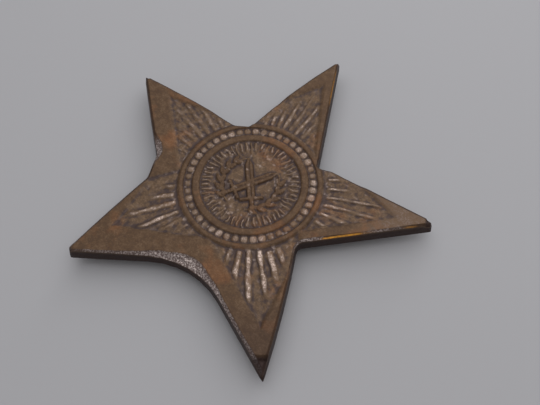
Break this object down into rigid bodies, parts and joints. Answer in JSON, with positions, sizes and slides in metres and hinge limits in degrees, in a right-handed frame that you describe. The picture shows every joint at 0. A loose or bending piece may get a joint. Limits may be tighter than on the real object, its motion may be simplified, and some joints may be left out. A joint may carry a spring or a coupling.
{
  "type": "star service medal",
  "caption": "Thick bronze star medal with a beaded and rayed medallion, crossed swords in a wreath, and a hinged brooch pin with a roll-over catch behind.",
  "frame": {"origin": "on the brooch pin's centre line, straight behind the middle of the medallion", "axes": "+Z is the way the face looks, +Y runs towards the top point, +X runs from the hinge to the catch along the pin"},
  "size_m": [0.0461, 0.0446, 0.0037],
  "materials": {
    "star_bronze": "dark brown patinated cast bronze, rubbed on the high spots",
    "fitting_brass": "tarnished sheet brass",
    "rivet_brass": "tarnished drawn brass",
    "pin_steel": "drawn steel wire, slightly stained",
    "lock_brass": "turned brass, worn bright on the tab",
    "solder": "dull grey soft solder"
  },
  "bodies": {
    "medal": {"star_body": "star_bronze", "hinge_bracket": "fitting_brass", "hinge_rivet": "rivet_brass", "hinge_solder": "solder", "catch_body": "fitting_brass", "catch_solder": "solder"},
    "pin": {"brooch_pin": "pin_steel"},
    "lock": {"catch_lock": "lock_brass"}
  },
  "joints": [
    {"name": "pin_swing", "type": "hinge", "parent": "medal", "child": "pin", "pos_m": [-0.0115, 0, 0], "axis": [0, 1, 0], "range_deg": [0, 135]},
    {"name": "lock_turn", "type": "hinge", "parent": "medal", "child": "lock", "pos_m": [0.0115, 0, 0], "axis": [1, 0, 0], "range_deg": [0, 125]}
  ]
}
